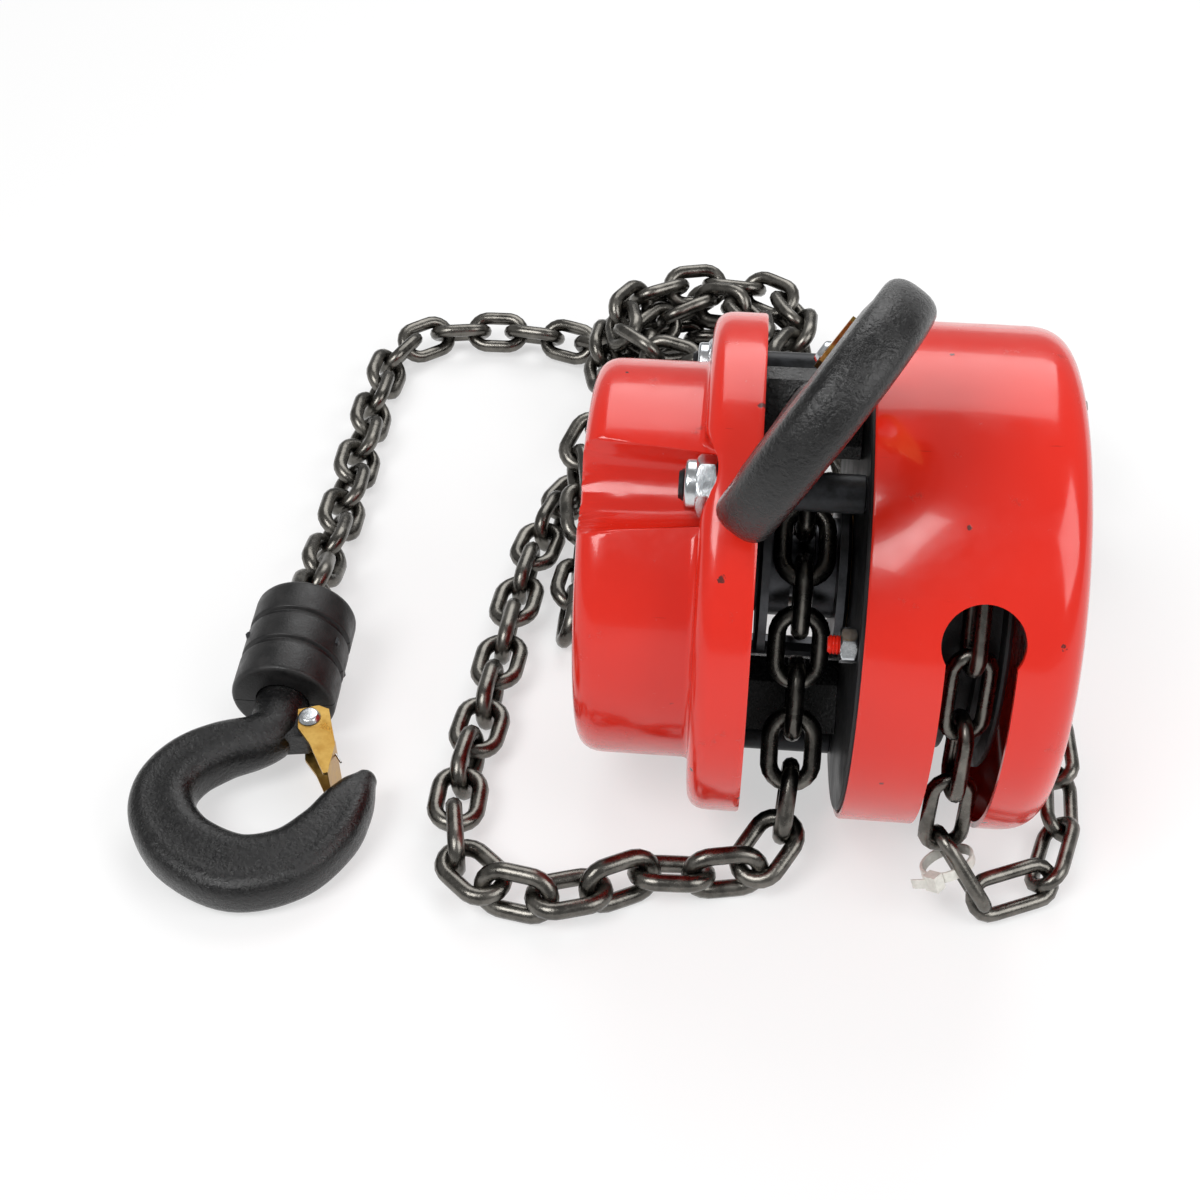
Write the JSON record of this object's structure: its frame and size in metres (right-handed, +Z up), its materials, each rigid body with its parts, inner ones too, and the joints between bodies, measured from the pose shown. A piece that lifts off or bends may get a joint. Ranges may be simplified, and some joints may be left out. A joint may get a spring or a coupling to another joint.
{
  "type": "hand chain hoist",
  "caption": "Hand chain hoist with a stepped gear cover, a slotted hand wheel cover, swinging top hook, load hook on a swivel block, load chain and hand chain, lying ready on a table.",
  "frame": {"origin": "on the table under the middle of the hoist and its load hook, chains left out", "axes": "+X along the hoist axle toward the hand wheel cover, -Y toward the viewer and the load strand, +Z up"},
  "size_m": [0.3437, 0.3674, 0.2229],
  "materials": {
    "gear_cover": "gloss red enamel",
    "wheel_cover": "gloss red enamel",
    "gear_side_plate": "blackened forged or cut steel",
    "wheel_side_plate": "blackened forged or cut steel",
    "stay_front": "blackened forged or cut steel",
    "stay_top": "blackened forged or cut steel",
    "stay_bottom": "blackened forged or cut steel",
    "spring_washer_front": "blackened forged or cut steel",
    "spring_washer_top": "blackened forged or cut steel",
    "spring_washer_bottom": "blackened forged or cut steel",
    "lock_nut_front": "bright zinc plate",
    "lock_nut_top": "bright zinc plate",
    "lock_nut_bottom": "bright zinc plate",
    "cover_stud_front": "gloss red enamel",
    "cover_stud_rear": "gloss red enamel",
    "cover_stud_bottom": "gloss red enamel",
    "cover_nut_front": "bright zinc plate",
    "cover_nut_rear": "bright zinc plate",
    "cover_nut_bottom": "bright zinc plate",
    "gear_side_bearing": "sintered bronze",
    "wheel_side_bearing": "sintered bronze",
    "gear_carrier": "blackened forged or cut steel",
    "ratchet_disc": "machined steel",
    "pawl_pin_upper": "machined steel",
    "pawl_pin_lower": "machined steel",
    "pawl_spring_upper": "machined steel",
    "pawl_spring_lower": "machined steel",
    "chain_stripper": "blackened forged or cut steel",
    "chain_anchor_pin": "machined steel",
    "load_block_upper": "blackened forged or cut steel",
    "load_block_lower": "blackened forged or cut steel",
    "load_chain_pin": "oiled dark steel",
    "block_rivet_left": "bright zinc plate",
    "block_rivet_right": "bright zinc plate",
    "load_chain_run": "oiled dark steel",
    "load_chain_lead": "oiled dark steel",
    "load_chain_coil": "oiled dark steel",
    "hand_chain_run": "oiled dark steel",
    "hand_chain_coil": "oiled dark steel",
    "hand_wheel": "black cast iron",
    "drive_shaft": "machined steel",
    "brake_hub": "machined steel",
    "brake_disc_inner": "pressed friction lining",
    "brake_disc_outer": "pressed friction lining",
    "shaft_nut": "bright zinc plate",
    "load_sheave": "machined steel",
    "load_gear": "machined steel",
    "disc_gear_front": "machined steel",
    "disc_gear_rear": "machined steel",
    "top_yoke": "blackened forged or cut steel",
    "top_hook": "blackened forged or cut steel",
    "top_latch_pin": "bright zinc plate",
    "top_latch_spring": "bright zinc plate",
    "top_latch": "yellow zinc plate",
    "load_hook": "blackened forged or cut steel",
    "load_latch_pin": "bright zinc plate",
    "load_latch_spring": "bright zinc plate",
    "load_latch": "yellow zinc plate",
    "pawl_upper": "blackened forged or cut steel",
    "pawl_lower": "blackened forged or cut steel"
  },
  "bodies": {
    "frame": {"gear_cover": "gear_cover", "wheel_cover": "wheel_cover", "gear_side_plate": "gear_side_plate", "wheel_side_plate": "wheel_side_plate", "stay_front": "stay_front", "stay_top": "stay_top", "stay_bottom": "stay_bottom", "spring_washer_front": "spring_washer_front", "spring_washer_top": "spring_washer_top", "spring_washer_bottom": "spring_washer_bottom", "lock_nut_front": "lock_nut_front", "lock_nut_top": "lock_nut_top", "lock_nut_bottom": "lock_nut_bottom", "cover_stud_front": "cover_stud_front", "cover_stud_rear": "cover_stud_rear", "cover_stud_bottom": "cover_stud_bottom", "cover_nut_front": "cover_nut_front", "cover_nut_rear": "cover_nut_rear", "cover_nut_bottom": "cover_nut_bottom", "gear_side_bearing": "gear_side_bearing", "wheel_side_bearing": "wheel_side_bearing", "gear_carrier": "gear_carrier", "ratchet_disc": "ratchet_disc", "pawl_pin_upper": "pawl_pin_upper", "pawl_pin_lower": "pawl_pin_lower", "pawl_spring_upper": "pawl_spring_upper", "pawl_spring_lower": "pawl_spring_lower", "chain_stripper": "chain_stripper", "chain_anchor_pin": "chain_anchor_pin", "load_block_upper": "load_block_upper", "load_block_lower": "load_block_lower", "load_chain_pin": "load_chain_pin", "block_rivet_left": "block_rivet_left", "block_rivet_right": "block_rivet_right", "load_chain_run": "load_chain_run", "load_chain_lead": "load_chain_lead", "load_chain_coil": "load_chain_coil", "hand_chain_run": "hand_chain_run", "hand_chain_coil": "hand_chain_coil"},
    "wheel_train": {"hand_wheel": "hand_wheel", "drive_shaft": "drive_shaft", "brake_hub": "brake_hub", "brake_disc_inner": "brake_disc_inner", "brake_disc_outer": "brake_disc_outer", "shaft_nut": "shaft_nut"},
    "sheave": {"load_sheave": "load_sheave", "load_gear": "load_gear"},
    "disc_front": {"disc_gear_front": "disc_gear_front"},
    "disc_rear": {"disc_gear_rear": "disc_gear_rear"},
    "yoke": {"top_yoke": "top_yoke"},
    "top_hook_body": {"top_hook": "top_hook", "top_latch_pin": "top_latch_pin", "top_latch_spring": "top_latch_spring"},
    "top_latch_body": {"top_latch": "top_latch"},
    "load_hook_body": {"load_hook": "load_hook", "load_latch_pin": "load_latch_pin", "load_latch_spring": "load_latch_spring"},
    "load_latch_body": {"load_latch": "load_latch"},
    "pawl_upper_body": {"pawl_upper": "pawl_upper"},
    "pawl_lower_body": {"pawl_lower": "pawl_lower"}
  },
  "joints": [
    {"name": "hand_wheel_spin", "type": "hinge", "parent": "frame", "child": "wheel_train", "pos_m": [0.07175, 0.0092, 0.08389], "axis": [1, 0, 0], "continuous": true},
    {"name": "disc_front_spin", "type": "hinge", "parent": "frame", "child": "disc_front", "pos_m": [0.07175, -0.02201, 0.09463], "axis": [1, 0, 0], "continuous": true},
    {"name": "disc_rear_spin", "type": "hinge", "parent": "frame", "child": "disc_rear", "pos_m": [0.07175, 0.0404, 0.07314], "axis": [1, 0, 0], "continuous": true},
    {"name": "load_sheave_spin", "type": "hinge", "parent": "frame", "child": "sheave", "pos_m": [0.07175, 0.0092, 0.08389], "axis": [1, 0, 0], "continuous": true},
    {"name": "top_yoke_swing", "type": "hinge", "parent": "frame", "child": "yoke", "pos_m": [0.07175, 0.01739, 0.14057], "axis": [-1, 0, 0], "range_deg": [0, 85]},
    {"name": "top_hook_swivel", "type": "hinge", "parent": "yoke", "child": "top_hook_body", "pos_m": [0.07175, 0.00674, 0.14802], "axis": [0, 0.8192, -0.5736], "range_deg": [-95, 25]},
    {"name": "top_latch_hinge", "type": "hinge", "parent": "top_hook_body", "child": "top_latch_body", "pos_m": [0.07958, -0.01486, 0.17732], "axis": [0.829, -0.3207, -0.4581], "range_deg": [0, 28], "stiffness_Nm_per_rad": 0.05, "springref_deg": -22.92},
    {"name": "load_hook_swivel", "type": "hinge", "parent": "frame", "child": "load_hook_body", "pos_m": [-0.11125, -0.0068, 0.01884], "axis": [0, -0.9925, -0.1219], "continuous": true},
    {"name": "load_latch_hinge", "type": "hinge", "parent": "load_hook_body", "child": "load_latch_body", "pos_m": [-0.09725, -0.0202, 0.0172], "axis": [0, 0.1219, -0.9925], "range_deg": [0, 28], "stiffness_Nm_per_rad": 0.05, "springref_deg": -22.92},
    {"name": "pawl_upper_hinge", "type": "hinge", "parent": "frame", "child": "pawl_upper_body", "pos_m": [0.07175, 0.06312, 0.08106], "axis": [-1, 0, 0], "range_deg": [0, 14], "stiffness_Nm_per_rad": 0.05, "springref_deg": -22.92},
    {"name": "pawl_lower_hinge", "type": "hinge", "parent": "frame", "child": "pawl_lower_body", "pos_m": [0.07175, -0.04473, 0.08671], "axis": [-1, 0, 0], "range_deg": [0, 14], "stiffness_Nm_per_rad": 0.05, "springref_deg": -22.92}
  ],
  "couplings": [
    {"joint": "disc_front_spin", "follows": "hand_wheel_spin", "ratio": -0.38462},
    {"joint": "disc_rear_spin", "follows": "hand_wheel_spin", "ratio": -0.38462},
    {"joint": "load_sheave_spin", "follows": "hand_wheel_spin", "ratio": 0.14793}
  ]
}
